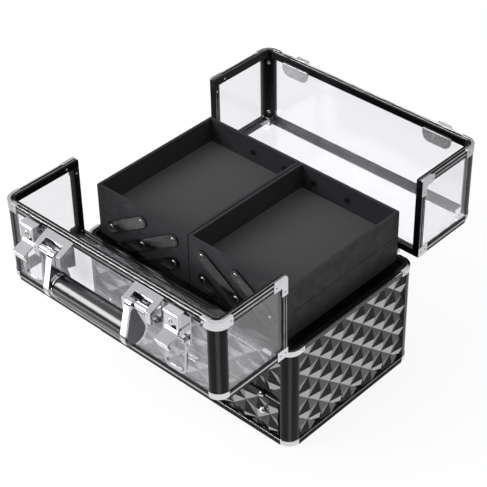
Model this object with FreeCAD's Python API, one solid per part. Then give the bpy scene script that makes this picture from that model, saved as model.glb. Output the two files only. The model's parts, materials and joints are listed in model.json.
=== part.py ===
import FreeCAD, Part
import math
import os
from FreeCAD import Vector

os.makedirs("parts", exist_ok=True)

# Main sizes in millimetres: x runs along the length, the front faces -y
case_length = 360.0
case_depth = 238.0
box_height = 158.0
lid_height = 116.5
post_radius = 16.5
rim_width = 9.0
rim_height = 9.0
box_rim_height = 7.0
wall_thick = 3.5
skin_depth = 5.0
skin_base = 1.2
diamond_width = 41.0
diamond_height = 36.0
acrylic_thick = 2.5
rail_thick = 1.5
rail_leg = 10.0
cap_proud = 0.7
cap_reach = 9.0
pin_stand_off = 4.5
closing_gap = 0.5
split_gap = 0.4
tray_wall = 4.0
tray_floor = 2.5
tray_height = 38.0
tray_pitch = 38.5
tray_reach = 161.7
tray_half_depth = 104.8
arm_step = 56.0
arm_drop = 35.5
arm_width = 16.0
arm_thick = 2.0
rivet_radius = 2.5
running_gap = 0.06
drawer_top = 64.0
drawer_half_length = 157.0
cap_flange = 3.5
rib_insets = (1.6, 3.8, 6.0)
rib_width = 1.0
rib_depth = 0.7
handle_spacing = 75.0
bracket_half = 23.0
bracket_pocket = 14.5
arm_end_radius = 18.0
arm_tip_radius = 8.0
arm_depth = 8.5
arm_border = 3.4
grip_radius = 14.4
grip_core = 12.0
grip_drop = 40.75
grip_lean = 2.0
collar_width = 3.5
handle_pin = 2.0
latch_spacing = 121.0
latch_pin = 1.5
lock_half = 11.5
lever_half = 10.5
lever_reach = 21.0
lever_lip = 12.0
loop_width = 35.0
loop_length = 52.0
loop_wire = 3.25
catch_x = 134.0
catch_z = 70.5
catch_pin = 1.8
knob_z = 42.0
knob_shank = 2.2

# Sizes worked out from those above
half_length = case_length / 2
half_depth = case_depth / 2
inner_half_length = half_length - skin_depth - wall_thick
inner_half_depth = half_depth - skin_depth - wall_thick
rim_top = box_height - 0.6
box_rim_low = box_height - box_rim_height
post_half_length = half_length - post_radius
post_half_depth = half_depth - post_radius
lid_depth = half_depth - split_gap - 0.6
pin_y = half_depth + pin_stand_off
pin_z = box_height + closing_gap / 2
lid_start = pin_y + closing_gap / 2
lid_base = pin_z + pin_stand_off
wall_y = -(lid_start + lid_height)
bottom_rail_height = 10.0
post_thick = 4.1
lower_tray_z = box_height + 3.5
upper_tray_z = lower_tray_z + tray_pitch
arm_y = tray_half_depth + 0.3
pivot_inner = 25.0
pivot_middle = pivot_inner + arm_step
pivot_outer = pivot_middle + arm_step
upper_pivot_z = upper_tray_z + 18.5
lower_pivot_z = upper_pivot_z - arm_drop
box_pivot_z = lower_pivot_z - arm_drop
divider_top = 74.0
catch_y = -half_depth - 0.6
fitting_top = lid_base + 109.0


def block(x0, x1, y0, y1, z0, z1):
    size = Vector(x1 - x0, y1 - y0, z1 - z0)
    return Part.makeBox(size.x, size.y, size.z, Vector(x0, y0, z0))


def rod(start, axis, radius, length):
    return Part.makeCylinder(radius, length, Vector(*start), Vector(*axis))


def prism(points, direction):
    corners = [Vector(*p) for p in points]
    face = Part.Face(Part.makePolygon(corners + corners[:1]))
    return face.extrude(Vector(*direction))


def mirror_x(shape):
    return shape.mirror(Vector(0, 0, 0), Vector(1, 0, 0))


def mirror_y(shape):
    return shape.mirror(Vector(0, 0, 0), Vector(0, 1, 0))


def turned(shape, angle, axis=(0, 0, 1), centre=(0, 0, 0)):
    copy = shape.copy()
    copy.rotate(Vector(*centre), Vector(*axis), angle)
    return copy


def moved(shape, x, y, z):
    copy = shape.copy()
    copy.translate(Vector(x, y, z))
    return copy


def both_ends(shape):
    return [shape, mirror_x(shape)]


def four_corners(shape):
    pair = both_ends(shape)
    return pair + [mirror_y(s) for s in pair]


def tidy(shape):
    return shape.removeSplitter()


def save(name, shapes):
    shapes = shapes if isinstance(shapes, list) else [shapes]
    solids = [solid for shape in shapes for solid in shape.Solids]
    for solid in solids:
        if not solid.isValid() or solid.Volume <= 0:
            raise ValueError(name + " has a bad solid")
    group = solids[0] if len(solids) == 1 else Part.makeCompound(solids)
    group.exportStep("parts/" + name + ".step")
    print(name, len(solids), "solids", round(sum(s.Volume for s in solids) / 1000, 2), "cm3")


def rounded_block(width, depth, height, radius):
    shape = Part.makeBox(width, depth, height, Vector(-width / 2, -depth / 2, 0))
    upright = [e for e in shape.Edges if abs(e.tangentAt(e.FirstParameter).z) > 0.9]
    return shape.makeFillet(radius, upright)


def saw_ridges(span, pitch, side):
    # one family of long ridges; two families crossed leave four-sided pyramids
    half_w = diamond_width / 2
    half_h = diamond_height / 2
    diagonal = math.hypot(half_w, half_h)
    across = Vector(half_h / diagonal, 0, side * half_w / diagonal)
    along = Vector(half_w / diagonal, 0, -side * half_h / diagonal)
    count = int(span / pitch) + 1
    points = []
    for step in range(-2 * count, 2 * count + 1):
        height = skin_depth if step % 2 == 0 else skin_base
        points.append(across * (step * pitch / 2) + Vector(0, -height, 0))
    first = Vector(points[0].x, 0, points[0].z)
    last = Vector(points[-1].x, 0, points[-1].z)
    outline = [first] + points + [last, first]
    face = Part.Face(Part.makePolygon([p - along * span for p in outline]))
    return face.extrude(along * (2 * span))


def quilted_panel(width, low, high):
    # back at y = 0, points outwards along -y, the middle of the panel holds a point
    half_w = diamond_width / 2
    half_h = diamond_height / 2
    pitch = 2 * half_w * half_h / math.hypot(half_w, half_h)
    span = 0.6 * math.hypot(width, high - low)
    height = high - low
    sheet = block(-width / 2, width / 2, -skin_depth, 0, -height / 2, height / 2)
    sheet = sheet.common(saw_ridges(span, pitch, 1)).common(saw_ridges(span, pitch, -1))
    return moved(sheet, 0, 0, (low + high) / 2)


def post(length):
    # rounded outside, flat across the inside; the round is centred on the z axis, towards +x -y
    inner = post_radius - post_thick
    start = Vector(0, -post_radius, 0)
    middle = Vector(post_radius * math.sqrt(0.5), -post_radius * math.sqrt(0.5), 0)
    end = Vector(post_radius, 0, 0)
    edges = [Part.Arc(start, middle, end).toShape()]
    corners = [end, Vector(inner, 0, 0), Vector(0, -inner, 0), start]
    for a, b in zip(corners[:-1], corners[1:]):
        edges.append(Part.makeLine(a, b))
    return Part.Face(Part.Wire(edges)).extrude(Vector(0, 0, length))


def corner_wrap(reach, low, high, inner, outer):
    # a bent strip that goes round a post, with a straight leg of the given reach on each side
    ring = rod((0, 0, low), (0, 0, 1), outer, high - low).cut(rod((0, 0, low), (0, 0, 1), inner, high - low))
    quarter = ring.common(block(0, outer, -outer, 0, low, high))
    legs = [block(-reach, 0, -outer, -inner, low, high), block(inner, outer, 0, reach, low, high)]
    return tidy(quarter.multiFuse(legs))


def soften(shape, radius, test):
    edges = [e for e in shape.Edges if test(e.CenterOfMass)]
    return shape.makeFillet(radius, edges)


def make_box_skins():
    width = 2 * post_half_length
    front = moved(quilted_panel(width, divider_top, box_rim_low), 0, -inner_half_depth - wall_thick, 0)
    back = quilted_panel(width, bottom_rail_height, box_rim_low)
    back = turned(moved(back, 0, -inner_half_depth - wall_thick, 0), 180)
    side = quilted_panel(2 * post_half_depth, bottom_rail_height, box_rim_low)
    side = turned(moved(side, 0, -inner_half_length - wall_thick, 0), 90)
    save("quilted_front", front)
    save("quilted_back", back)
    save("quilted_right", side)
    save("quilted_left", mirror_x(side))


def make_inner_box():
    x = inner_half_length
    y = inner_half_depth
    floor = 1.5
    top = box_rim_low
    shell = block(-x - wall_thick, x + wall_thick, -y - wall_thick, y + wall_thick, floor, top)
    shell = shell.cut(block(-x, x, -y, y, floor + wall_thick, top))
    mouth = drawer_half_length + 1.5
    shell = shell.cut(block(-mouth, mouth, -y - wall_thick, -y, floor + wall_thick, drawer_top + 1))
    # round corners let the posts stand outside
    corner = block(post_half_length, half_length, -half_depth, -post_half_depth, floor, top)
    corner = corner.cut(rod((post_half_length, -post_half_depth, floor), (0, 0, 1), 7.5, top))
    for piece in four_corners(corner):
        shell = shell.cut(piece)
    shell = shell.fuse(block(-163, 163, -102, 102, 0, floor))
    for sx in (-1, 1):
        for px in (pivot_middle, pivot_outer):
            hole = rod((sx * px, -half_depth, box_pivot_z), (0, 1, 0), rivet_radius + running_gap, case_depth)
            shell = shell.cut(hole)
    save("inner_box", tidy(shell))
    save("compartment_floor", moved(rounded_block(2 * x, 2 * y, 3, 8), 0, 0, drawer_top + 2))
    runner = block(drawer_half_length - 6.5, x, -post_half_depth, post_half_depth, floor + wall_thick, 20)
    save("drawer_runners", both_ends(runner))


def make_box_frame():
    low = bottom_rail_height
    high = box_rim_low
    upright = moved(post(high - low), post_half_length, -post_half_depth, low)
    save("corner_posts", four_corners(upright))
    length = post_half_length
    depth = post_half_depth
    face = skin_depth
    front = block(-length, length, -half_depth, -half_depth + face, 0, low)
    front = front.fuse(block(-length, length, -half_depth, -half_depth + 16, 0, rail_thick))
    side = block(half_length - face, half_length, -depth, depth, 0, low)
    side = side.fuse(block(half_length - 16, half_length, -depth, depth, 0, rail_thick))
    for z in (2.0, 4.1, 6.2, 8.3):
        front = front.cut(block(-length, length, -half_depth, -half_depth + rib_depth, z, z + rib_width))
        side = side.cut(block(half_length - rib_depth, half_length, -depth, depth, z, z + rib_width))
    save("bottom_rails", [tidy(front), mirror_y(tidy(front)), tidy(side), mirror_x(tidy(side))])
    foot = rod((0, 0, 0), (0, 0, 1), post_radius + cap_proud, low)
    foot = foot.common(block(0, 30, -30, 0, 0, low)).cut(rod((0, 0, rail_thick), (0, 0, 1), 7.5, low))
    foot = soften(foot, 3.5, lambda c: c.z < 0.01 and math.hypot(c.x, c.y) > 10)
    foot = moved(foot, post_half_length, -post_half_depth, 0)
    save("bottom_corner_caps", four_corners(foot))
    rim = moved(rounded_block(case_length, case_depth, rim_top - high, post_radius), 0, 0, high)
    inside = rounded_block(case_length - 2 * rim_width, case_depth - 2 * rim_width, 20, 7.5)
    rim = rim.cut(moved(inside, 0, 0, high - 5))
    for inset in rib_insets:
        outer = rounded_block(case_length - 2 * inset, case_depth - 2 * inset, 1, post_radius - inset)
        step = inset + rib_width
        core = rounded_block(case_length - 2 * step, case_depth - 2 * step, 1, post_radius - step)
        rim = rim.cut(moved(outer.cut(core), 0, 0, rim_top - rib_depth))
    save("top_rim", rim)
    wrap = corner_wrap(cap_reach, high - 1, rim_top, post_radius, post_radius + cap_proud)
    plate = corner_wrap(cap_reach, rim_top, box_height, post_radius - cap_flange, post_radius + cap_proud)
    cap = moved(tidy(wrap.fuse(plate)), post_half_length, -post_half_depth, 0)
    save("rim_corner_caps", four_corners(cap))
    rail = block(-length, length, -half_depth, -inner_half_depth - wall_thick, drawer_top + 1, divider_top)
    for z in (66.2, 68.4, 72.0):
        rail = rail.cut(block(-length, length, -half_depth, -half_depth + rib_depth, z, z + rib_width))
    for sx in (-1, 1):
        rail = rail.cut(rod((sx * catch_x, -half_depth - 1, catch_z), (0, 1, 0), catch_pin, 10))
    save("divider_rail", rail)


def make_drawer():
    reach = drawer_half_length
    low = bottom_rail_height + 1.0
    back = -inner_half_depth - wall_thick
    face = moved(quilted_panel(2 * reach, low, drawer_top), 0, back, 0)
    for x in (-catch_x, catch_x):
        face = face.cut(rod((x, -half_depth - 2, knob_z), (0, 1, 0), knob_shank, 10))
    save("drawer_face", face)
    board = 4.0
    side = reach - 7.5
    tray = block(-reach, reach, back, back + board, low, drawer_top)
    body = block(-side, side, back + board, inner_half_depth - 6, low, drawer_top - 3)
    hollow = block(-side + 3, side - 3, back + board, inner_half_depth - 9, low + 3, drawer_top)
    tray = tidy(tray.fuse(body.cut(hollow)))
    save("drawer_tray", tray)
    knob = rod((0, 0, 0), (0, -1, 0), knob_shank, 5.5)
    profile = Part.makeSphere(5.2, Vector(0, -4.2, 0)).common(block(-6, 6, -8.4, -5.5, -6, 6))
    knob = tidy(knob.fuse(profile))
    save("drawer_knobs", [moved(knob, x, back, knob_z) for x in (-catch_x, catch_x)])
    bar = rounded_block(27, 8.5, 2.2, 4.2)
    bar = turned(bar, 90, (1, 0, 0))
    bar = moved(bar, -9.2, catch_y, 0)
    bar = bar.cut(rod((0, catch_y - 5, 0), (0, 1, 0), catch_pin + running_gap, 10))
    save("drawer_catch_right", moved(bar, catch_x, 0, catch_z))
    save("drawer_catch_left", mirror_x(moved(bar, catch_x, 0, catch_z)))
    head_y = catch_y - 2.2 - 0.2
    pivot = rod((0, head_y, 0), (0, 1, 0), catch_pin, -head_y - half_depth + 4)
    dome = Part.makeSphere(5.0, Vector(0, head_y + 3.0, 0))
    dome = dome.common(block(-6, 6, head_y - 2.0, head_y, -6, 6))
    save("catch_pivots", [moved(tidy(pivot.fuse(dome)), x, 0, catch_z) for x in (-catch_x, catch_x)])


def make_hinge(name, flip):
    half = 150.0
    segments = 10
    gap = 0.4
    radius = 3.2
    step = 2 * half / segments
    pin_radius = 1.25
    base_leaf = block(-half, half, -half_depth - rail_thick, -half_depth, box_height - 17, box_height - 5)
    lid_leaf = block(-half, half, -lid_start - 17, -lid_start - 4.2, lid_base - rail_thick, lid_base)
    for index in range(segments):
        x0 = -half + index * step + gap / 2
        x1 = x0 + step - gap
        knuckle = rod((x0, -pin_y, pin_z), (1, 0, 0), radius, x1 - x0)
        if index % 2 == 0:
            tab = block(x0, x1, -half_depth - rail_thick, -half_depth, box_height - 5.1, pin_z)
            link = block(x0, x1, -pin_y, -half_depth - 0.2, pin_z - 3.2, pin_z - 1.2)
            base_leaf = base_leaf.fuse(knuckle.fuse([tab, link]))
        else:
            tab = block(x0, x1, -lid_start - 4.3, -pin_y, lid_base - rail_thick, lid_base)
            link = block(x0, x1, -pin_y - 3.2, -pin_y - 1.2, pin_z, lid_base - 0.2)
            lid_leaf = lid_leaf.fuse(knuckle.fuse([tab, link]))
    base_leaf = tidy(base_leaf.cut(rod((-half - 1, -pin_y, pin_z), (1, 0, 0), pin_radius, 2 * half + 2)))
    lid_hole = rod((-half - 1, -pin_y, pin_z), (1, 0, 0), pin_radius + running_gap, 2 * half + 2)
    lid_leaf = tidy(lid_leaf.cut(lid_hole))
    pin = rod((-half, -pin_y, pin_z), (1, 0, 0), pin_radius, 2 * half)
    save(name + "_hinge_box_leaf", flip(base_leaf))
    save(name + "_hinge_lid_leaf", flip(lid_leaf))
    return flip(pin)


def lid_block(x0, x1, p0, p1, q0, q1):
    # p runs from the hinge rim to the roof, q from the long side to the split edge
    return block(x0, x1, -lid_start - p1, -lid_start - p0, lid_base + q0, lid_base + q1)


def make_lid(name, flip):
    rim_low = lid_depth - rail_leg
    post_p = lid_height - post_radius
    roof_in = lid_height - rail_thick
    x = half_length
    sheet = acrylic_thick
    side_in = x - rail_thick
    roof = lid_block(-post_half_length, post_half_length, roof_in - sheet, roof_in, rail_thick, rim_low)
    side_face = side_in - sheet
    floor = lid_block(-side_face, side_face, rim_height, roof_in - sheet, rail_thick, rail_thick + sheet)
    corner = lid_block(post_half_length, x, post_p, lid_height, 0, rail_thick + sheet)
    for piece in both_ends(corner):
        floor = floor.cut(piece)
    end = lid_block(side_in - sheet, side_in, rim_height, post_p, rail_thick, rim_low)
    save(name + "_roof_panel", flip(roof))
    save(name + "_long_panel", flip(floor))
    save(name + "_end_panels", [flip(s) for s in both_ends(end)])
    front_rail = lid_block(-post_half_length, post_half_length, roof_in, lid_height, 0, rail_leg)
    leg_in = lid_height - rail_leg
    front_leg = lid_block(-post_half_length, post_half_length, leg_in, lid_height, 0, rail_thick)
    side_rail = lid_block(side_in, x, rim_height, post_p, 0, rail_leg)
    side_leg = lid_block(x - rail_leg, x, rim_height, post_p, 0, rail_thick)
    side_rail = tidy(side_rail.fuse(side_leg))
    upright = moved(post(rim_low - 12), post_half_length, -lid_start - post_p, lid_base + 12)
    rails = [tidy(front_rail.fuse(front_leg))] + both_ends(side_rail) + both_ends(upright)
    save(name + "_edge_rails", [flip(s) for s in rails])
    # open-backed rim that meets the other lid
    long_y = 2 * lid_height
    outline = rounded_block(case_length, long_y, lid_depth - rim_low, post_radius)
    inside = rounded_block(case_length - 2 * rim_width, long_y - 2 * rim_width, 30, 7.5)
    split_rim = outline.cut(moved(inside, 0, 0, -5))
    for inset in rib_insets:
        step = inset + rib_width
        ridge = rounded_block(case_length - 2 * inset, long_y - 2 * inset, 2, post_radius - inset)
        core = rounded_block(case_length - 2 * step, long_y - 2 * step, 2, post_radius - step)
        split_rim = split_rim.cut(moved(ridge.cut(core), 0, 0, lid_depth - rim_low - rib_depth))
    split_rim = moved(split_rim, 0, -lid_start, lid_base + rim_low)
    split_rim = split_rim.common(lid_block(-x, x, 0, lid_height, rim_low, lid_depth))
    save(name + "_split_rim", flip(split_rim))
    hinge_rim = lid_block(-x, x, 0, rim_height, 0, rim_low)
    hinge_rim = hinge_rim.cut(lid_block(-x + rim_width, x - rim_width, 0, rim_height, rim_width, rim_low))
    save(name + "_hinge_rim", flip(hinge_rim))
    radius = post_radius + cap_proud
    ball = rod((0, 0, -cap_proud), (0, 0, 1), radius, 12 + cap_proud)
    ball = ball.common(block(0, 30, -30, 0, -cap_proud, 12))
    ball = soften(ball, 7.0, lambda c: c.z < 0 and math.hypot(c.x, c.y) > 10)
    ball = moved(ball, post_half_length, -lid_start - post_p, lid_base)
    wrap = corner_wrap(cap_reach, rim_low - 2, lid_depth, post_radius, radius)
    plate = corner_wrap(cap_reach, lid_depth, lid_depth + 0.6, post_radius - cap_flange, radius)
    roof_cap = moved(tidy(wrap.fuse(plate)), post_half_length, -lid_start - post_p, lid_base)
    ear = lid_block(x, x + cap_proud, 0.4, 24, rim_low - 1, lid_depth)
    ear = ear.fuse(lid_block(x, x + cap_proud, 0.4, 10, rim_low - 14, lid_depth))
    ear = ear.fuse(lid_block(x - cap_flange, x + cap_proud, 0.4, 20, lid_depth, lid_depth + 0.6))
    heel = lid_block(x, x + cap_proud, 0.4, 18, 0, 14)
    caps = both_ends(ball) + both_ends(roof_cap) + both_ends(tidy(ear)) + both_ends(heel)
    save(name + "_corner_caps", [flip(s) for s in caps])


def teardrop(x0, x1, end, end_radius, tip, tip_radius):
    # a round end and a smaller round tip joined by straight flanks, laid across x
    drop = tip[1] - end[1]
    lean = math.asin((end_radius - tip_radius) / drop)
    side = math.cos(lean)
    rise = math.sin(lean)
    web = prism([
        (x0, end[0] - end_radius * side, end[1] + end_radius * rise),
        (x0, tip[0] - tip_radius * side, tip[1] + tip_radius * rise),
        (x0, tip[0] + tip_radius * side, tip[1] + tip_radius * rise),
        (x0, end[0] + end_radius * side, end[1] + end_radius * rise),
    ], (x1 - x0, 0, 0))
    disc = rod((x0, end[0], end[1]), (1, 0, 0), end_radius, x1 - x0)
    knob = rod((x0, tip[0], tip[1]), (1, 0, 0), tip_radius, x1 - x0)
    return tidy(web.multiFuse([disc, knob]))


def make_handle():
    top = fitting_top
    pivot = (wall_y - 18, top - 9.5)
    nose = wall_y - 23
    cheek = [(0, wall_y, top + 5), (0, nose, top - 5), (0, nose, top - 21), (0, wall_y, top - 29)]
    solid = moved(prism(cheek, (2 * bracket_half, 0, 0)), -bracket_half, 0, 0)
    pocket = block(-bracket_pocket, bracket_pocket, wall_y - 30, wall_y - 2, top - 40, top - 9.5)
    mouth = block(-bracket_pocket, bracket_pocket, wall_y - 30, wall_y - 9.5, top - 40, top + 6)
    bracket = solid.cut(pocket).cut(mouth)
    bracket = bracket.cut(rod((-30, pivot[0], pivot[1]), (1, 0, 0), handle_pin, 60))
    save("handle_brackets", [moved(tidy(bracket), sx * handle_spacing, 0, 0) for sx in (-1, 1)])
    pin = rod((-bracket_half, pivot[0], pivot[1]), (1, 0, 0), handle_pin, 2 * bracket_half)
    handle_pins = [moved(pin, sx * handle_spacing, 0, 0) for sx in (-1, 1)]
    grip_z = pivot[1] - grip_drop
    grip_y = pivot[0] - grip_lean
    arm_in = handle_spacing - 13.8
    arm_out = arm_in + arm_depth
    hub = rod((handle_spacing - 14, pivot[0], pivot[1]), (1, 0, 0), 5.2, 28)
    tip = (pivot[0] - 2, pivot[1])
    arm = teardrop(arm_in, arm_out, (grip_y, grip_z), arm_end_radius, tip, arm_tip_radius)
    arm = arm.fuse(hub)
    # shallow recess in the outer face
    recess = teardrop(arm_out - 0.8, arm_out, (grip_y, grip_z), arm_end_radius - arm_border,
                      (tip[0] - 2.5, tip[1] - 7), arm_tip_radius / 2)
    arm = arm.cut(recess)
    arm = tidy(arm.cut(rod((0, pivot[0], pivot[1]), (1, 0, 0), handle_pin + running_gap, 120)))
    collar_in = arm_in - collar_width
    ring = rod((collar_in, grip_y, grip_z), (1, 0, 0), grip_radius + 1, collar_width)
    ring = ring.cut(rod((collar_in, grip_y, grip_z), (1, 0, 0), grip_core, collar_width))
    save("handle_arms", both_ends(arm))
    save("handle_rings", both_ends(ring))
    grip = rod((-collar_in, grip_y, grip_z), (1, 0, 0), grip_radius, 2 * collar_in)
    core = rod((-arm_in, grip_y, grip_z), (1, 0, 0), grip_core, 2 * arm_in)
    save("handle_grip", tidy(grip.fuse(core)))
    print("handle pivot", pivot, "grip", grip_y, grip_z)
    return handle_pins


def make_latches():
    top = fitting_top
    face = wall_y
    plate = block(-18.5, 18.5, face - 1.5, face, top - 42, top)
    lock = block(-lock_half, lock_half, face - 15, face - 1.5, top - 17, top + 5)
    lock = soften(lock, 3.0, lambda c: c.y < face - 14.9)
    loop_pin = (face - 5.5, top - 34.0)
    ears = [block(x, x + 2, face - 8, face - 1.5, top - 37, top - 31) for x in (-13.5, 11.5)]
    lever_pin = (face - 11.0, top - 21.0)
    posts = [block(x, x + 2, face - 13.5, face - 1.5, top - 24, top - 16) for x in (-13, 11)]
    body = plate.multiFuse([lock] + ears + posts)
    body = body.cut(rod((-20, loop_pin[0], loop_pin[1]), (1, 0, 0), latch_pin + running_gap, 40))
    body = body.cut(rod((-20, lever_pin[0], lever_pin[1]), (1, 0, 0), latch_pin, 40))
    key_z = top - 7
    key_radius = 4.0
    body = tidy(body.cut(rod((0, face - 15, key_z), (0, 1, 0), key_radius, 8)))
    cylinder = rod((0, face - 15.6, key_z), (0, 1, 0), key_radius, 8.6)
    cylinder = cylinder.cut(block(-0.6, 0.6, face - 16, face - 13, key_z - 2.6, key_z + 2.6))
    save("latch_plates", [moved(body, sx * latch_spacing, 0, 0) for sx in (-1, 1)])
    save("lock_cylinders", [moved(cylinder, sx * latch_spacing, 0, 0) for sx in (-1, 1)])
    pin = rod((-13, lever_pin[0], lever_pin[1]), (1, 0, 0), latch_pin, 26)
    lever_pins = [moved(pin, sx * latch_spacing, 0, 0) for sx in (-1, 1)]
    # flap hanging away from the plate, its end bent down
    half = lever_half
    flap = block(-half, half, -lever_reach, 1.5, -1.0, 1.0)
    flap = flap.fuse(block(-half, half, -lever_reach, -lever_reach + 2, -lever_lip, 1.0))
    low_ends = (half - 0.01, -lever_lip + 0.01)
    flap = soften(flap, 5.0, lambda c: abs(c.x) > low_ends[0] and c.z < low_ends[1])
    barrel = rod((-half, 0, 0), (1, 0, 0), 3.0, 2 * half)
    flap = flap.fuse(barrel).cut(rod((-half - 1, 0, 0), (1, 0, 0), latch_pin + running_gap, 2 * half + 2))
    flap = turned(tidy(flap), 22, (1, 0, 0))
    loop_outer = rounded_block(loop_width, loop_length, 3.0, 9)
    inside = loop_width - 2 * loop_wire
    loop_inner = moved(rounded_block(inside, loop_length - 2, 8, 6), 0, 3, -2)
    loop = turned(loop_outer.cut(loop_inner), 90, (1, 0, 0))
    loop = moved(loop, 0, 1.5, 3.5 - loop_length / 2)
    axle = rod((-15.5, 0, 0), (1, 0, 0), latch_pin, 31)
    loop = loop.cut(block(-30, 30, -10, 10, 0.0, 40))
    eyes = [rod((x, 0, 0), (1, 0, 0), 2.6, loop_wire) for x in (-loop_width / 2, inside / 2)]
    loop = turned(tidy(loop.fuse([axle] + eyes)), -4, (1, 0, 0))
    for side, sx in (("left", -1), ("right", 1)):
        save("latch_lever_" + side, moved(flap, sx * latch_spacing, lever_pin[0], lever_pin[1]))
        save("latch_loop_" + side, moved(loop, sx * latch_spacing, loop_pin[0], loop_pin[1]))
    print("lever pin", lever_pin, "loop pin", loop_pin)
    return lever_pins


def make_catches():
    # on the back lid's split rim, facing the latches
    face = -wall_y
    edge = lid_base + lid_depth
    outside = block(-17, 17, face, face + 1.5, edge - 18, edge)
    hook_top = face + 8.3
    hook = block(-10, 10, face + 1.5, hook_top, edge - 4, edge - 1.5)
    lip = block(-10, 10, hook_top - 1.8, hook_top, edge - 11, edge - 1.5)
    outer = tidy(outside.multiFuse([hook, lip]))
    inner_face = face - rim_width
    plate = rounded_block(46, 26, 1.6, 12)
    plate = turned(plate, 90, (1, 0, 0))
    plate = moved(plate, 0, inner_face, edge - 13)
    plate = plate.common(block(-30, 30, 0, inner_face, 0, edge - 8))
    save("catch_plates", [moved(s, sx * latch_spacing, 0, 0) for sx in (-1, 1) for s in (outer, plate)])


def tray_box(low, holes):
    reach = tray_reach
    gap = 0.7
    depth = tray_half_depth
    tray = block(gap, reach, -depth, depth, low, low + tray_height)
    hollow = block(gap + tray_wall, reach - tray_wall, -depth + tray_wall, depth - tray_wall,
                   low + tray_floor, low + tray_height)
    tray = tray.cut(hollow)
    for x, z in holes:
        tray = tray.cut(rod((x, -200, z), (0, 1, 0), rivet_radius + running_gap, 400))
    return tray


def tray_rivet(x, z):
    # head outside the arm, shank through arm and tray wall, flat end inside the tray
    outer = arm_y + arm_thick
    head = rod((x, -outer - 1.4, z), (0, 1, 0), 4.6, 1.4)
    head = soften(head, 1.0, lambda c: c.y < -outer - 1.39)
    shank = rod((x, -outer, z), (0, 1, 0), rivet_radius, outer - tray_half_depth + tray_wall + 0.3)
    tail = rod((x, -tray_half_depth + tray_wall + 0.3, z), (0, 1, 0), 4.0, 1.2)
    return tidy(head.multiFuse([shank, tail]))


def box_rivet(x, z):
    outer = arm_y + arm_thick
    shank = rod((x, -inner_half_depth - wall_thick + 0.4, z), (0, 1, 0), rivet_radius, 20)
    shank = shank.common(block(-400, 400, -200, -arm_y, 0, 400))
    spacer = rod((x, -inner_half_depth + 0.9, z), (0, 1, 0), 5.0, inner_half_depth - 0.9 - outer)
    return tidy(shank.fuse(spacer))


def arm_bar(ends):
    (xa, za), (xb, zb) = ends
    length = math.hypot(xb - xa, zb - za)
    bar = rounded_block(length + arm_width, arm_width, arm_thick, arm_width / 2 - 0.01)
    bar = turned(bar, 90, (1, 0, 0))
    bar = turned(bar, -math.degrees(math.atan2(zb - za, xb - xa)), (0, 1, 0))
    return moved(bar, (xa + xb) / 2, -arm_y, (za + zb) / 2)


def arm_group(pivots, box_end):
    bar = arm_bar((pivots[0], pivots[-1]))
    for x, z in pivots:
        bar = bar.cut(rod((x, -200, z), (0, 1, 0), rivet_radius, 200))
    rivets = [box_rivet(*p) if box_end and p == pivots[0] else tray_rivet(*p) for p in pivots]
    front = [bar] + rivets
    return front + [mirror_y(s) for s in front]


def make_trays():
    inner = pivot_inner
    middle = pivot_middle
    outer = pivot_outer
    upper_z = upper_pivot_z
    lower_z = lower_pivot_z
    base_z = box_pivot_z
    shapes = {
        "upper_tray": [tray_box(upper_tray_z, [(inner, upper_z), (middle, upper_z)])],
        "lower_tray": [tray_box(lower_tray_z, [(inner, lower_z), (middle, lower_z), (outer, lower_z)])],
        "long_arms": arm_group([(outer, base_z), (middle, lower_z), (inner, upper_z)], True),
        "lower_arms": arm_group([(middle, base_z), (inner, lower_z)], True),
        "upper_arms": arm_group([(outer, lower_z), (middle, upper_z)], False),
    }
    for name, pieces in shapes.items():
        save("right_" + name, pieces)
        save("left_" + name, [mirror_x(s) for s in pieces])


def as_it_is(shape):
    return shape


make_box_skins()
make_inner_box()
make_box_frame()
make_drawer()
save("hinge_pins", [make_hinge("front", as_it_is), make_hinge("back", mirror_y)])
make_lid("front_lid", as_it_is)
make_lid("back_lid", mirror_y)
save("pivot_pins", make_handle() + make_latches())
make_catches()
make_trays()
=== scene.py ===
import json
import math

import bmesh
import bpy
from mathutils import Matrix, Vector


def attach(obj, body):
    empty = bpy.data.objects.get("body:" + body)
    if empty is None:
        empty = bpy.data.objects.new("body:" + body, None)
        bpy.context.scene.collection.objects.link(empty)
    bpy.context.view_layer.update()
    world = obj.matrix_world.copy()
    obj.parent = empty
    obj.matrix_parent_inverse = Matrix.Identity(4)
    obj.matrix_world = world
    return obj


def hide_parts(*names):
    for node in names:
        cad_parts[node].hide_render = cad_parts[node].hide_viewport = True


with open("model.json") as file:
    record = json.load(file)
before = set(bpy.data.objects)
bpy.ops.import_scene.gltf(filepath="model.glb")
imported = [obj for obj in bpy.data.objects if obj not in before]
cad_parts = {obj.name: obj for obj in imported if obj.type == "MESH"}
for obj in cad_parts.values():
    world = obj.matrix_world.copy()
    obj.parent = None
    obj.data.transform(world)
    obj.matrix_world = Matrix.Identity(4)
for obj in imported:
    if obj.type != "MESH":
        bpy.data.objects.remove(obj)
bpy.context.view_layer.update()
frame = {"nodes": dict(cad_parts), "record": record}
nodes = frame["nodes"]
bodyOf = {n: b for b, group in frame["record"]["behaviour"]["bodies"].items() for n in group}
slotOf = {part["node"]: part["material_slot"] for part in frame["record"]["subparts"]}
scene = bpy.context.scene
mm = 0.001
print("stage: frame loaded,", len(nodes), "nodes")


# shader maths as plain expressions: a Value wraps one output socket
class Value:
    def __init__(self, graph, socket):
        self.graph = graph
        self.socket = socket

    def __add__(self, other):
        return self.graph.maths("ADD", self, other)

    __radd__ = __add__

    def __sub__(self, other):
        return self.graph.maths("SUBTRACT", self, other)

    def __rsub__(self, other):
        return self.graph.maths("SUBTRACT", other, self)

    def __mul__(self, other):
        return self.graph.maths("MULTIPLY", self, other)

    __rmul__ = __mul__


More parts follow.
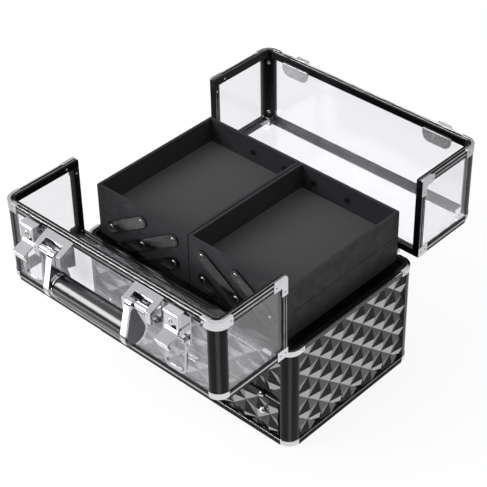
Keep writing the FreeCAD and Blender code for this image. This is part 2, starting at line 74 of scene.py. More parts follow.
class Graph:
    def __init__(self, tree):
        self.tree = tree

    # any node: its type, its settings, then values or links for its sockets
    def add(self, kind, settings=None, sockets=None, out=0):
        node = self.tree.nodes.new(kind)
        for key, setting in (settings or {}).items():
            setattr(node, key, setting)
        for key, value in (sockets or {}).items():
            self.feed(node.inputs[key], value)
        return Value(self, node.outputs[out])

    def feed(self, socket, value):
        if isinstance(value, Value):
            self.tree.links.new(value.socket, socket)
        else:
            socket.default_value = value

    def maths(self, operation, first, second=0.0):
        return self.add("ShaderNodeMath", {"operation": operation}, {0: first, 1: second})

    def ray(self, kind):
        return self.add("ShaderNodeLightPath", out="Is " + kind + " Ray")

    def mixShaders(self, factor, first, second):
        return self.add("ShaderNodeMixShader", None, {0: factor, 1: first, 2: second})


class Finish(Graph):
    def __init__(self, name):
        self.material = bpy.data.materials.new(name)
        self.material.use_nodes = True
        super().__init__(self.material.node_tree)
        self.shader = self.tree.nodes["Principled BSDF"]
        self.output = self.tree.nodes["Material Output"]

    def place(self):
        return self.add("ShaderNodeTexCoord", out="Object")

    def noise(self, scale, detail=3.0, roughness=0.5):
        return self.add("ShaderNodeTexNoise", None,
                        {"Vector": self.place(), "Scale": scale, "Detail": detail, "Roughness": roughness})

    def stretched(self, stretch, scale, detail=2.0):
        spot = self.add("ShaderNodeMapping", None, {"Vector": self.place(), "Scale": stretch})
        return self.add("ShaderNodeTexNoise", None, {"Vector": spot, "Scale": scale, "Detail": detail})

    def remap(self, value, fromLow, fromHigh, toLow=0.0, toHigh=1.0):
        return self.add("ShaderNodeMapRange", {"clamp": True},
                        {"Value": value, "From Min": fromLow, "From Max": fromHigh,
                         "To Min": toLow, "To Max": toHigh})

    def between(self, mask, low, high):  # the middle of a noise spread over a range
        return self.remap(mask, 0.3, 0.7, low, high)

    def fromMiddle(self, spot, axis):  # distance from the middle plane along one axis
        along = self.add("ShaderNodeSeparateXYZ", None, {0: spot}, out=axis)
        return self.maths("ABSOLUTE", along)

    def below(self, value, limit):  # limits in millimetres
        return self.maths("LESS_THAN", value, limit * mm)

    def band(self, value, low, high):
        return self.below(value, high) - self.below(value, low)

    def mixColours(self, mask, first, second):
        return self.add("ShaderNodeMix", {"data_type": "RGBA"}, {0: mask, 6: first, 7: second}, out=2)

    def tint(self, mask, first, second):
        return self.mixColours(mask, (*first, 1), (*second, 1))

    def bump(self, height, strength, distance):
        return self.add("ShaderNodeBump", None,
                        {"Height": height, "Strength": strength, "Distance": distance})

    def set(self, **values):
        for key, value in values.items():
            self.feed(self.shader.inputs[key.replace("_", " ")], value)

    def principled(self):
        return Value(self, self.shader.outputs[0])

    def showInstead(self, surface):
        self.feed(self.output.inputs["Surface"], surface)


white = (1, 1, 1, 1)
anodisedBlack = (0.003, 0.003, 0.0035)
brightMetal = (0.86, 0.86, 0.88)

# one noise gives colour and roughness, and a finer one the relief where there is one
chrome = {"mask": (40.0, 4.0, 0.6), "dark": (0.62, 0.62, 0.64), "light": (0.72, 0.72, 0.74),
          "rough": (0.04, 0.12), "relief": (120.0, 2.0), "bump": (0.03, 0.0003),
          "even": {"Metallic": 1.0}}
grip = {"mask": (22.0, 3.0), "dark": (0.006, 0.006, 0.008), "light": (0.014, 0.014, 0.017),
        "rough": (0.20, 0.24), "relief": (180.0,), "bump": (0.03, 0.0003),
        "even": {"Specular_IOR_Level": 0.9}}
lining = {"mask": (900.0, 3.0, 0.7), "dark": (0.010, 0.010, 0.011), "light": (0.030, 0.030, 0.033),
          "rough": (0.80, 0.96), "bump": (0.5, 0.0006),
          "even": {"Sheen_Weight": 0.3, "Specular_IOR_Level": 0.2}}
armInsert = {"mask": (420.0, 3.0), "dark": (0.085, 0.088, 0.092), "light": (0.13, 0.133, 0.14),
             "rough": (0.38, 0.52), "bump": (0.12, 0.0003)}
satinPlate = {"mask": (90.0, 4.0, 0.6), "dark": (0.78, 0.78, 0.80), "light": (0.88, 0.88, 0.90),
              "rough": (0.22, 0.30), "metal": (0.70, 0.85), "bump": (0.04, 0.0003)}


def plainFinish(name, look):
    f = Finish(name)
    mask = f.noise(*look["mask"])
    relief = f.noise(*look["relief"]) if "relief" in look else mask
    f.set(Base_Color=f.tint(mask, look["dark"], look["light"]),
          Roughness=f.between(mask, *look["rough"]),
          Normal=f.bump(relief, *look["bump"]))
    if "metal" in look:
        f.set(Metallic=f.between(mask, *look["metal"]))
    f.set(**look.get("even", {}))  # the same all over the surface
    return f.material


glossPanel = {"dark": (0.010, 0.010, 0.012), "light": (0.020, 0.020, 0.023), "cloud": 18.0,
              "haze": (9.0, 4.0), "rough": (0.10, 0.18), "peel": (260.0, 2.0), "bump": (0.05, 0.0004),
              "specular": 0.8, "coatRough": 0.05, "coatIor": 2.7}


def glossPanelFinish():
    f = Finish("gloss_black_panel")
    f.set(Base_Color=f.tint(f.noise(glossPanel["cloud"]), glossPanel["dark"], glossPanel["light"]),
          Roughness=f.between(f.noise(*glossPanel["haze"]), *glossPanel["rough"]),
          Normal=f.bump(f.noise(*glossPanel["peel"]), *glossPanel["bump"]))
    f.set(Specular_IOR_Level=glossPanel["specular"], Coat_Weight=1.0,
          Coat_Roughness=glossPanel["coatRough"], Coat_IOR=glossPanel["coatIor"])
    return f.material


blackAluminium = {"stretch": (30.0, 30.0, 2.0), "grain": 60.0, "wear": (35.0, 5.0, 0.6),
                  "light": (0.008, 0.008, 0.009), "rough": (0.20, 0.26), "bump": (0.02, 0.0002),
                  "specular": 0.24}


def blackAluminiumFinish():
    f = Finish("black_anodised_aluminium")
    grain = f.stretched(blackAluminium["stretch"], blackAluminium["grain"])
    wear = f.noise(*blackAluminium["wear"])
    f.set(Base_Color=f.tint(wear, anodisedBlack, blackAluminium["light"]),
          Roughness=f.between(grain, *blackAluminium["rough"]),
          Normal=f.bump(grain, *blackAluminium["bump"]))
    f.set(Specular_IOR_Level=blackAluminium["specular"])
    return f.material


# stripes and pale set the painted highlight streaks round each rounded corner
roundedPost = {"stripes": 8.0, "pale": 0.05, "wear": (35.0, 5.0, 0.6), "lineShine": (0.4, 0.6),
               "rough": (0.18, 0.24), "specular": 0.14}


def postFinish(name, post):  # black, with painted highlight streaks up the round of each corner, one bright line along the rails
    f = Finish(name)
    spot = f.place()
    acrossX = f.fromMiddle(spot, "X") - post["x"] * mm
    acrossY = f.fromMiddle(spot, "Y") - post["y"] * mm
    around = f.maths("ARCTAN2", acrossY, acrossX)
    wave = f.maths("COSINE", around * roundedPost["stripes"])
    onRound = (1 - f.below(acrossX, 0.0)) * (1 - f.below(acrossY, 0.0))
    # painted highlight: paler stripes up the round of the post, standing in for streaks of reflected light
    pale = f.remap(wave, 0.0, 1.0) * onRound * roundedPost["pale"]
    line = f.band(f.fromMiddle(spot, "Z"), post["lineLow"], post["lineHigh"])
    wear = f.noise(*roundedPost["wear"])
    shine = pale + line * f.between(wear, *roundedPost["lineShine"])
    f.set(Base_Color=f.tint(shine, anodisedBlack, brightMetal),
          Roughness=f.between(wear, *roundedPost["rough"]), Metallic=line)
    f.set(Specular_IOR_Level=roundedPost["specular"])
    return f.material


# bead, ribs and the band mark where the painted highlight lines fall on the rims
ribbedRail = {"bead": 1.6, "ribsFrom": 4.7, "ribsTo": 6.1, "skin": 0.3, "beadShine": 0.85,
              "streak": (70.0, 3.0), "streakShine": (0.75, 1.0), "wear": 50.0, "rough": (0.16, 0.24),
              "specular": 0.2}


def ribbedRailFinish(name, rail):  # bright metal painted on the outer bead and on the ribs inside as painted highlights, a black groove between
    f = Finish(name)
    spot = f.place()
    fromEnd = rail["halfLength"] * mm - f.fromMiddle(spot, "X")
    fromFace = rail["halfDepth"] * mm - f.fromMiddle(spot, "Y")
    inset = f.maths("MINIMUM", fromEnd, fromFace)
    bead = f.below(inset, ribbedRail["bead"])
    ribs = f.band(inset, ribbedRail["ribsFrom"], ribbedRail["ribsTo"])
    height = f.fromMiddle(spot, "Z")
    top = 1 - f.below(height, rail["ridge"])
    side = f.band(height, rail["bandLow"], rail["bandHigh"]) * f.below(inset, ribbedRail["skin"])
    streak = f.between(f.noise(*ribbedRail["streak"]), *ribbedRail["streakShine"])
    # painted highlights: bright metal lines on the bead and rib tops, and a band on the outer face
    onTop = (bead * ribbedRail["beadShine"] + ribs * rail["ribShine"]) * top
    f.set(Base_Color=f.tint((onTop + side * rail["bandShine"]) * streak, anodisedBlack, brightMetal),
          Roughness=f.between(f.noise(ribbedRail["wear"]), *ribbedRail["rough"]),
          Metallic=(bead + ribs) * top + side)
    f.set(Specular_IOR_Level=ribbedRail["specular"])
    return f.material


hingeBar = {"dark": (0.0025, 0.0025, 0.003), "light": (0.80, 0.80, 0.82), "inner": (125.8, 126.8),
            "outer": (129.8, 130.8), "streak": (60.0, 3.0), "streakShine": (0.25, 0.6), "wear": 50.0,
            "rough": (0.12, 0.18), "specular": 0.12}


def hingeRimFinish():  # black, with two bright lines along the bar
    f = Finish("lined_hinge_rim")
    depth = f.fromMiddle(f.place(), "Y")
    lines = f.band(depth, *hingeBar["inner"]) + f.band(depth, *hingeBar["outer"])
    streak = f.between(f.noise(*hingeBar["streak"]), *hingeBar["streakShine"])
    f.set(Base_Color=f.tint(lines * streak, hingeBar["dark"], hingeBar["light"]),
          Roughness=f.between(f.noise(hingeBar["wear"]), *hingeBar["rough"]), Metallic=lines)
    f.set(Specular_IOR_Level=hingeBar["specular"])
    return f.material


hingeSteel = {"stretch": (4.0, 60.0, 60.0), "brush": 40.0, "dark": (0.62, 0.62, 0.64),
              "light": (0.78, 0.78, 0.80), "rough": (0.18, 0.32), "bump": (0.05, 0.0002)}


def hingeSteelFinish():
    f = Finish("plated_hinge_steel")
    brush = f.stretched(hingeSteel["stretch"], hingeSteel["brush"])
    f.set(Base_Color=f.tint(brush, hingeSteel["dark"], hingeSteel["light"]),
          Roughness=f.between(brush, *hingeSteel["rough"]),
          Normal=f.bump(brush, *hingeSteel["bump"]))
    f.set(Metallic=1.0)
    return f.material


acrylic = {"film": (6.0, 2.0), "dark": (0.80, 0.80, 0.84), "light": (0.88, 0.88, 0.91),
           "rough": (0.02, 0.05), "haze": (0.04, 0.07), "through": (0.972, 0.971, 0.982, 1),
           "headOn": 0.04, "falloff": 5.0, "glossRough": 0.12}


def acrylicFinish():  # clear, glossier at a low angle, with a thin haze
    f = Finish("clear_acrylic")
    film = f.noise(*acrylic["film"])
    f.set(Base_Color=f.tint(film, acrylic["dark"], acrylic["light"]),
          Roughness=f.between(film, *acrylic["rough"]))
    f.set(Specular_IOR_Level=1.0)
    facing = f.add("ShaderNodeLayerWeight", None, {"Blend": 0.5}, out="Facing")
    rim = f.maths("POWER", facing, acrylic["falloff"]) * (1 - acrylic["headOn"]) + acrylic["headOn"]
    clear = f.add("ShaderNodeBsdfTransparent", None, {"Color": acrylic["through"]})
    gloss = f.add("ShaderNodeBsdfGlossy", None, {"Color": white, "Roughness": acrylic["glossRough"]})
    sheet = f.mixShaders(rim, clear, gloss)
    f.showInstead(f.mixShaders(f.between(film, *acrylic["haze"]), sheet, f.principled()))
    return f.material


trayGrain = {"cells": 620.0, "cloud": (14.0, 3.0), "dark": (0.014, 0.0145, 0.0165),
             "light": (0.022, 0.0225, 0.025), "wear": (90.0, 2.0), "rough": (0.46, 0.62),
             "bump": (0.22, 0.0004), "specular": 0.3}


def trayFinish():
    f = Finish("tray_black_grain")
    leather = f.add("ShaderNodeTexVoronoi", {"feature": "F1"},
                    {"Vector": f.place(), "Scale": trayGrain["cells"]})
    f.set(Base_Color=f.tint(f.noise(*trayGrain["cloud"]), trayGrain["dark"], trayGrain["light"]),
          Roughness=f.between(f.noise(*trayGrain["wear"]), *trayGrain["rough"]),
          Normal=f.bump(leather, *trayGrain["bump"]))
    f.set(Specular_IOR_Level=trayGrain["specular"])
    return f.material


# rim, rimFoot and rimCrown set the painted highlight ring on the rivet heads
armEnamel = {"wear": (55.0, 4.0, 0.6), "light": (0.006, 0.006, 0.007), "rim": (0.62, 0.62, 0.64, 1),
             "rimFoot": 107.2, "rimCrown": 108.4, "rough": (0.14, 0.20), "relief": 220.0,
             "bump": (0.02, 0.0002), "specular": 0.42}


def armFinish():  # enamelled bars, with a painted highlight: a bright metal ring round the rims of the rivet heads
    f = Finish("arm_black_enamel")
    wear = f.noise(*armEnamel["wear"])
    # painted highlight: a bright grey metal ring at the depth of the rivet heads' rims
    rim = f.band(f.fromMiddle(f.place(), "Y"), armEnamel["rimFoot"], armEnamel["rimCrown"])
    enamel = f.tint(wear, anodisedBlack, armEnamel["light"])
    f.set(Base_Color=f.mixColours(rim, enamel, armEnamel["rim"]),
          Roughness=f.between(wear, *armEnamel["rough"]), Metallic=rim,
          Normal=f.bump(f.noise(armEnamel["relief"]), *armEnamel["bump"]))
    f.set(Specular_IOR_Level=armEnamel["specular"])
    return f.material


finishes = {
    "gloss_black_panel": glossPanelFinish(),
    "black_aluminium": blackAluminiumFinish(),
    "chrome": plainFinish("bright_chrome", chrome),
    "hinge_steel": hingeSteelFinish(),
    "clear_acrylic": acrylicFinish(),
    "tray_black": trayFinish(),
    "arm_black": armFinish(),
    "black_lining": plainFinish("black_flock_lining", lining),
    "grip_black": plainFinish("grip_gloss_black", grip),
}
insertGrey = plainFinish("handle_insert_grey", armInsert)

# pieces with a finish of their own; places in millimetres from the middle planes
# ribShine and bandShine set the strength of the painted highlight lines on each rim
lidRail = {"halfLength": 180.0, "halfDepth": 240.25, "ridge": 280.6, "bandLow": 274.2, "bandHigh": 276.8,
           "ribShine": 0.55, "bandShine": 0.45}
boxRail = {"halfLength": 180.0, "halfDepth": 119.0, "ridge": 157.25, "bandLow": 153.4, "bandHigh": 154.6,
           "ribShine": 0.04, "bandShine": 0.25}
boxPost = {"x": 163.5, "y": 102.5, "lineLow": 0.0, "lineHigh": 0.0}  # no line
lidPost = {"x": 163.5, "y": 223.75, "lineLow": 166.6, "lineHigh": 169.4}
footRail = {"x": 163.5, "y": 102.5, "lineLow": 7.2, "lineHigh": 8.3}
drawerRail = {"x": 163.5, "y": 102.5, "lineLow": 69.4, "lineHigh": 70.8}
lidRim = ribbedRailFinish("ribbed_lid_rim", lidRail)
lidEdge = postFinish("lid_corner_post", lidPost)
hingeRim = hingeRimFinish()
ownFinish = {
    "front_lid_split_rim": lidRim, "back_lid_split_rim": lidRim,
    "front_lid_edge_rails": lidEdge, "back_lid_edge_rails": lidEdge,
    "front_lid_hinge_rim": hingeRim, "back_lid_hinge_rim": hingeRim,
    "top_rim": ribbedRailFinish("ribbed_box_rim", boxRail),
    "corner_posts": postFinish("box_corner_post", boxPost),
    "bottom_rails": postFinish("lined_foot_rail", footRail),
    "divider_rail": postFinish("lined_drawer_rail", drawerRail),
    "catch_plates": plainFinish("satin_catch_plate", satinPlate),
}


def finishOf(node):
    return ownFinish.get(node, finishes[slotOf[node]])


for nodeName, cadObject in nodes.items():
    for materialSlot in cadObject.material_slots:
        materialSlot.material = finishOf(nodeName)
print("stage: finishes made,", len(finishes) + len(set(ownFinish.values())) + 1, "finishes")


def meshObject(name, bm, finish):
    mesh = bpy.data.meshes.new(name)
    bm.to_mesh(mesh)
    bm.free()
    mesh.materials.append(finish)
    piece = bpy.data.objects.new(name, mesh)
    scene.collection.objects.link(piece)
    return piece


def addPiece(name, bm, body, finish, smooth=40.0):
    piece = meshObject(name, bm, finish)
    for polygon in piece.data.polygons:
        polygon.use_smooth = True
    piece.data.set_sharp_from_angle(angle=math.radians(smooth))
    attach(piece, body)
    return piece


def joinRows(bm, rows):  # side faces between closed rows of points
    for low, high in zip(rows[:-1], rows[1:]):
        for i in range(len(low)):
            j = (i + 1) % len(low)
            bm.faces.new((low[i], low[j], high[j], high[i]))


def arc(centre, radius, start, sweep, steps):
    turns = [start + sweep * i / steps for i in range(steps + 1)]
    return [(centre[0] + radius * math.cos(t), centre[1] + radius * math.sin(t)) for t in turns]


# the same solid with its sharp edges rounded over; widths in millimetres
softening = {"weld": 2e-6, "flat": 0.6, "sharp": 32.0, "segments": 2}
softEdges = {
    "handle_grip": 1.3, "handle_brackets": 0.9, "handle_rings": 0.8, "handle_arms": 1.2,
    "latch_plates": 0.5, "latch_lever_left": 0.5, "latch_lever_right": 0.5, "latch_loop_left": 0.8,
    "latch_loop_right": 0.8, "lock_cylinders": 0.3, "catch_plates": 0.35, "bottom_corner_caps": 0.6,
    "rim_corner_caps": 0.2, "front_lid_corner_caps": 0.2, "back_lid_corner_caps": 0.2,
    "drawer_catch_left": 0.4, "drawer_catch_right": 0.4, "left_upper_tray": 0.7,
    "right_upper_tray": 0.7, "left_lower_tray": 0.7, "right_lower_tray": 0.7,
    "left_long_arms": 0.35, "right_long_arms": 0.35, "left_lower_arms": 0.35, "right_lower_arms": 0.35,
    "left_upper_arms": 0.35, "right_upper_arms": 0.35,
    "front_lid_split_rim": 0.22, "back_lid_split_rim": 0.22, "top_rim": 0.22, "bottom_rails": 0.22,
    "front_lid_edge_rails": 0.3, "back_lid_edge_rails": 0.3, "front_lid_hinge_rim": 0.4,
    "back_lid_hinge_rim": 0.4, "divider_rail": 0.22, "drawer_knobs": 0.3, "catch_pivots": 0.3,
}


def softenNode(node, width):
    bm = bmesh.new()
    bm.from_mesh(nodes[node].data)
    for layer in list(bm.loops.layers.float_vector):
        bm.loops.layers.float_vector.remove(layer)
    bmesh.ops.remove_doubles(bm, verts=bm.verts, dist=softening["weld"])
    bmesh.ops.dissolve_limit(bm, angle_limit=math.radians(softening["flat"]),
                             verts=bm.verts, edges=bm.edges)
    limit = math.radians(softening["sharp"])
    sharp = [e for e in bm.edges if len(e.link_faces) == 2 and e.calc_face_angle(0.0) > limit]
    bmesh.ops.bevel(bm, geom=sharp, offset=width, segments=softening["segments"], profile=0.5,
                    affect="EDGES", clamp_overlap=True)
    piece = addPiece(node + "_soft", bm, bodyOf[node], finishOf(node))
    evenNormals = piece.modifiers.new("evenNormals", "WEIGHTED_NORMAL")
    evenNormals.keep_sharp = True
    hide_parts(node)


for nodeName, edgeWidth in softEdges.items():
    softenNode(nodeName, edgeWidth * mm)
print("stage: edges rounded on", len(softEdges), "pieces")

# flock sheets lying in the trays
liner = {"inset": 0.6, "thick": 0.8, "lift": 0.02, "near": 4.7, "far": 157.7, "halfDepth": 100.8,
         "upper": 202.5, "lower": 164.0, "cornerRadius": 2.0, "cornerSteps": 5}


def addTrayLiners():
    near = liner["near"] + liner["inset"]
    far = liner["far"] - liner["inset"]
    depth = 2 * (liner["halfDepth"] - liner["inset"])
    for side, sx in (("left", -1), ("right", 1)):
        for level in ("upper", "lower"):
            bm = bmesh.new()
            height = liner[level] + liner["lift"] + liner["thick"] / 2
            centre = Vector((sx * (near + far) / 2, 0, height)) * mm
            size = Matrix.Diagonal((far - near, depth, liner["thick"])) * mm
            bmesh.ops.create_cube(bm, size=1.0, matrix=Matrix.Translation(centre) @ size.to_4x4())
            upright = [e for e in bm.edges if abs(e.verts[0].co.z - e.verts[1].co.z) > 0.1 * mm]
            bmesh.ops.bevel(bm, geom=upright, offset=liner["cornerRadius"] * mm,
                            segments=liner["cornerSteps"], profile=0.5, affect="EDGES")
            body = side + "_" + level + "_tray"
            name = side + level.capitalize() + "TrayLiner"
            addPiece(name, bm, body, finishes["black_lining"])


addTrayLiners()

# low domed heads of the rivets that hold the corner plates
rivet = {"radius": 1.7, "height": 0.9, "rings": 4, "sides": 16, "sink": 0.2, "smooth": 60.0}


def addDome(bm, spot, normal, radius, height):
    turn = Vector((0, 0, 1)).rotation_difference(Vector(normal)).to_matrix()
    rows = []
    for k in range(rivet["rings"]):
        angle = 0.5 * math.pi * k / rivet["rings"]
        wide = radius * math.cos(angle)
        rise = height * math.sin(angle) - rivet["sink"]
        row = []
        for i in range(rivet["sides"]):
            side = 2 * math.pi * i / rivet["sides"]
            local = Vector((wide * math.cos(side), wide * math.sin(side), rise))
            row.append(bm.verts.new((Vector(spot) + turn @ local) * mm))
        rows.append(row)
    tip = bm.verts.new((Vector(spot) + turn @ Vector((0, 0, height - rivet["sink"]))) * mm)
    bm.faces.new(list(reversed(rows[0])))
    joinRows(bm, rows)
    for i in range(rivet["sides"]):
        j = (i + 1) % rivet["sides"]
        bm.faces.new((rows[-1][i], rows[-1][j], tip))


def addRivets(name, body, spots):
    bm = bmesh.new()
    for spot, normal in spots:
        addDome(bm, spot, normal, rivet["radius"], rivet["height"])
    addPiece(name, bm, body, finishes["chrome"], rivet["smooth"])


boxRivet = {"endX": 158.0, "faceY": 119.7, "sideX": 180.7, "endY": 97.0, "height": 153.6}


def boxRivetSpots():
    spots = []
    for sx in (-1, 1):
        for sy in (-1, 1):
            spots.append(((sx * boxRivet["endX"], sy * boxRivet["faceY"], boxRivet["height"]), (0, sy, 0)))
            spots.append(((sx * boxRivet["sideX"], sy * boxRivet["endY"], boxRivet["height"]), (sx, 0, 0)))
    return spots


# pairs give the distance from the middle and the height
lidRivet = {"endX": 158.0, "faceY": 240.95, "height": 275.5, "sideX": 180.7, "insideX": 171.0,
            "outside": ((218.5, 275.5), (143.5, 275.5), (129.0, 262.0), (128.5, 169.5), (137.0, 169.5)),
            "inside": ((143.5, 275.75), (128.2, 262.0), (128.2, 171.0))}


def lidRivetSpots(sy):
    spots = []
    for sx in (-1, 1):
        spots.append(((sx * lidRivet["endX"], sy * lidRivet["faceY"], lidRivet["height"]), (0, sy, 0)))
        for y, z in lidRivet["outside"]:
            spots.append(((sx * lidRivet["sideX"], sy * y, z), (sx, 0, 0)))
        for y, z in lidRivet["inside"]:
            spots.append(((sx * lidRivet["insideX"], sy * y, z), (-sx, 0, 0)))
    return spots


addRivets("boxRivets", "case", boxRivetSpots())
addRivets("frontLidRivets", "front_lid", lidRivetSpots(-1))
addRivets("backLidRivets", "back_lid", lidRivetSpots(1))

# black strips up the inside corners of the lids, a bright rivet near each end
strip = {"width": 13.0, "thick": 1.2, "edge": 0.4, "low": 176.0, "high": 269.5, "halfHeight": 46.0,
         "postX": 163.5, "postY": 223.75, "chord": 6.2, "endSteps": 12,
         "headRadius": 2.6, "headHeight": 1.3}


def addCornerStrips(name, body, sy):
    bm = bmesh.new()
    heads = bmesh.new()
    half = strip["width"] / 2
    ends = (strip["high"] - half, strip["low"] + half)
    middle = (strip["low"] + strip["high"]) / 2
    outline = (arc((0, ends[0]), half, 0, math.pi, strip["endSteps"])
               + arc((0, ends[1]), half, math.pi, math.pi, strip["endSteps"]))
    layers = ((0.0, 0.0), (0.0, strip["thick"] - strip["edge"]), (strip["edge"], strip["thick"]))
    for sx in (-1, 1):
        inward = Vector((-sx, -sy, 0)).normalized()
        across = Vector((-inward.y, inward.x, 0))
        foot = Vector((sx * (strip["postX"] + strip["chord"]), sy * (strip["postY"] + strip["chord"]), 0))
        rows = []
        for inset, out in layers:
            narrow = 1 - inset / half
            shorten = 1 - inset / strip["halfHeight"]
            row = []
            for a, z in outline:
                rise = Vector((0, 0, middle + (z - middle) * shorten))
                row.append(bm.verts.new((foot + inward * out + across * (a * narrow) + rise) * mm))
            rows.append(row)
        joinRows(bm, rows)
        bm.faces.new(rows[-1])
        bm.faces.new(list(reversed(rows[0])))
        for z in reversed(ends):
            spot = foot + inward * strip["thick"] + Vector((0, 0, z))
            addDome(heads, spot, inward, strip["headRadius"], strip["headHeight"])
    bmesh.ops.recalc_face_normals(bm, faces=bm.faces)
    addPiece(name + "Strips", bm, body, finishes["black_aluminium"])
    addPiece(name + "StripHeads", heads, body, finishes["chrome"], rivet["smooth"])


addCornerStrips("frontLid", "front_lid", -1)
addCornerStrips("backLid", "back_lid", 1)

# grey plates let into the outer faces of the handle arms
insert = {"endRadius": 14.4, "endY": -260.25, "endZ": 221.5, "endSteps": 32,
          "tipRadius": 3.8, "tipY": -262.75, "tipZ": 255.25, "tipSteps": 12,
          "deep": 68.9, "face": 69.7, "rise": 0.15}


def addHandleInserts():
    bm = bmesh.new()
    lean = math.asin((insert["endRadius"] - insert["tipRadius"]) / (insert["tipZ"] - insert["endZ"]))
    end = (insert["endY"], insert["endZ"])
    tip = (insert["tipY"], insert["tipZ"])
    outline = (arc(end, insert["endRadius"], math.pi - lean, math.pi + 2 * lean, insert["endSteps"])
               + arc(tip, insert["tipRadius"], lean, math.pi - 2 * lean, insert["tipSteps"]))
    for sx in (-1, 1):
        rows = []
        for x in (insert["deep"], insert["face"] + insert["rise"]):
            rows.append([bm.verts.new((sx * x * mm, y * mm, z * mm)) for y, z in outline])
        joinRows(bm, rows)
        bm.faces.new(rows[1])
        bm.faces.new(list(reversed(rows[0])))
    bmesh.ops.recalc_face_normals(bm, faces=bm.faces)
    addPiece("handleInserts", bm, "handle", insertGrey)


addHandleInserts()
print("stage: liners, rivets, strips and handle plates added")

# camera, fitted to the corners of the case in the photograph
view = {"place": (1.1062, -1.1712, 1.4061), "azimuth": 43.52, "elevation": 37.61, "roll": -1.11,
        "focalPixels": 1585.6, "imageWidth": 487, "sensor": 36.0, "farthest": 30.0}


def addCamera():
    a = math.radians(view["azimuth"])
    e = math.radians(view["elevation"])
    back = Vector((math.sin(a) * math.cos(e), -math.cos(a) * math.cos(e), math.sin(e)))
    right = Vector((0, 0, 1)).cross(back).normalized()
    up = back.cross(right)
    turn = Matrix((right, up, back)).transposed() @ Matrix.Rotation(math.radians(view["roll"]), 3, "Z")
    data = bpy.data.cameras.new("photoCamera")
    data.sensor_width = view["sensor"]
    data.lens = view["focalPixels"] / view["imageWidth"] * view["sensor"]
    data.clip_end = view["farthest"]
    camera = bpy.data.objects.new("photoCamera", data)
    camera.matrix_world = Matrix.Translation(view["place"]) @ turn.to_4x4()
    scene.collection.objects.link(camera)
    scene.camera = camera


addCamera()
print("stage: camera placed")

floor = {"size": 6.0, "sides": 96, "dark": (0.86, 0.86, 0.87), "light": (0.90, 0.90, 0.90), "shown": 0.9,
         "steep": 0.34, "grazing": 0.58, "grazingGrey": 0.06}


def addFloor():  # pale to the eye, darker where it is mirrored at a low angle
    f = Finish("pale_floor")
    f.set(Base_Color=f.tint(f.noise(3.0), floor["dark"], floor["light"]), Roughness=0.9)
    f.set(Specular_IOR_Level=0.0)
    glow = f.add("ShaderNodeEmission", None, {"Color": white, "Strength": 1.0})
    seen = f.maths("MAXIMUM", f.ray("Camera"), f.ray("Transmission"))
    shown = f.mixShaders(seen * floor["shown"], f.principled(), glow)
    angle = f.add("ShaderNodeLayerWeight", None, {"Blend": 0.5}, out="Facing")
    level = f.remap(angle, floor["steep"], floor["grazing"], 1.0, floor["grazingGrey"])
    mirrored = f.add("ShaderNodeEmission", None, {"Color": level, "Strength": 1.0})
    f.showInstead(f.mixShaders(f.ray("Glossy"), shown, mirrored))
    bm = bmesh.new()
    bmesh.ops.create_circle(bm, cap_ends=True, radius=floor["size"], segments=floor["sides"])
    meshObject("floor", bm, f.material)


def addReflected(name, bm, finish):  # seen only in reflections
    item = meshObject(name, bm, finish)
    item.visible_camera = False
    item.visible_transmission = False
    item.visible_diffuse = False
    item.visible_shadow = False


# studio walls and ceiling; the profile gives radius and height in metres
surround = {"profile": ((2.6, 0.10), (2.6, 1.35), (2.6, 2.4), (2.2, 2.9), (1.5, 3.3), (0.7, 3.55),
                        (0.05, 3.6)),
            "sides": 72, "darkTo": 1.35, "paleAt": 2.4, "ceilingAt": 3.6, "wallGrey": 0.9,
            "ceilingGrey": 0.5, "paint": (0.012, 0.012, 0.014, 1)}


def addSurround():  # dark low down, pale above, grey overhead
    f = Finish("studio_walls")
    height = f.add("ShaderNodeSeparateXYZ", None, {0: f.place()}, out="Z")
    pale = f.remap(height, surround["darkTo"], surround["paleAt"])
    over = f.remap(height, surround["paleAt"], surround["ceilingAt"])
    level = pale * surround["wallGrey"] - over * (surround["wallGrey"] - surround["ceilingGrey"])
    f.set(Base_Color=surround["paint"], Roughness=1.0, Specular_IOR_Level=0.0,
          Emission_Color=f.tint(level, (0.0, 0.0, 0.0), (1.0, 1.0, 1.0)), Emission_Strength=1.0)
    bm = bmesh.new()
    turns = [2 * math.pi * i / surround["sides"] for i in range(surround["sides"])]
    rows = []
    for radius, z in surround["profile"]:
        rows.append([bm.verts.new((radius * math.cos(t), radius * math.sin(t), z)) for t in turns])
    joinRows(bm, rows)
    addReflected("surround", bm, f.material)


card = {"place": (-0.55, -1.05, 0.004), "turn": 35.0, "size": 0.8, "squares": 4, "glow": 0.9,
        "dark": (0.86, 0.86, 0.86), "light": (0.90, 0.90, 0.90)}


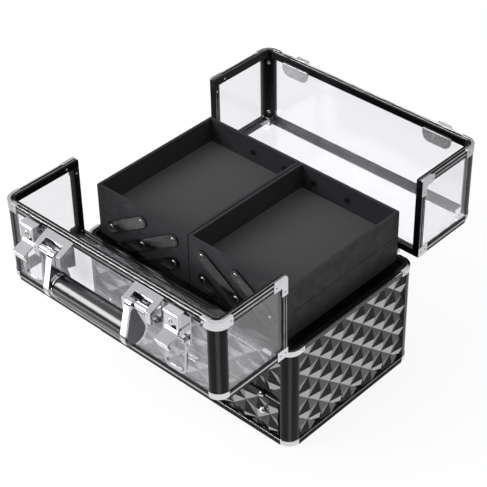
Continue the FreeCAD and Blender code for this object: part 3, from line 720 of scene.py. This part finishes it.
def addCard():  # white reflector lying in front of the case
    f = Finish("reflector_card")
    f.set(Base_Color=f.tint(f.noise(4.0), card["dark"], card["light"]), Roughness=0.9,
          Emission_Color=white, Emission_Strength=card["glow"])
    bm = bmesh.new()
    spot = Matrix.Translation(card["place"]) @ Matrix.Rotation(math.radians(card["turn"]), 4, "Z")
    bmesh.ops.create_grid(bm, x_segments=card["squares"], y_segments=card["squares"],
                          size=card["size"] / 2, matrix=spot)
    addReflected("card", bm, f.material)


backdrop = {"light": 0.45, "shown": 1.0}


def addWorld():  # white to the eye, softer as a light
    world = bpy.data.worlds.new("studioWorld")
    scene.world = world
    world.use_nodes = True
    world.node_tree.nodes.clear()
    g = Graph(world.node_tree)
    direct = g.maths("MAXIMUM", g.ray("Camera"), g.ray("Glossy"))
    seen = g.maths("MAXIMUM", direct, g.ray("Transmission"))
    lit = g.add("ShaderNodeBackground", None, {"Color": white, "Strength": backdrop["light"]})
    shown = g.add("ShaderNodeBackground", None, {"Color": white, "Strength": backdrop["shown"]})
    output = g.tree.nodes.new("ShaderNodeOutputWorld")
    g.feed(output.inputs["Surface"], g.mixShaders(seen, lit, shown))


lampTarget = (0, 0, 0.12)
lamps = [
    {"name": "topSoftbox", "place": (-0.5, -0.3, 2.2), "size": 1.8, "power": 28.0, "mirrored": False},
    {"name": "frontSoftbox", "place": (-1.25, -1.55, 1.45), "size": 1.2, "power": 46.0, "mirrored": True},
    {"name": "sideSoftbox", "place": (2.2, 0.4, 1.3), "size": 1.2, "power": 10.0, "mirrored": True},
]


def addLamps():
    for lamp in lamps:
        data = bpy.data.lights.new(lamp["name"], "AREA")
        data.size = lamp["size"]
        data.energy = lamp["power"]
        item = bpy.data.objects.new(lamp["name"], data)
        item.location = lamp["place"]
        item.visible_glossy = lamp["mirrored"]
        aim = Vector(lampTarget) - Vector(lamp["place"])
        item.rotation_euler = aim.to_track_quat("-Z", "Y").to_euler()
        scene.collection.objects.link(item)


addFloor()
addSurround()
addCard()
addWorld()
addLamps()
scene.view_settings.view_transform = "Standard"
print("stage: floor, light and studio ready")
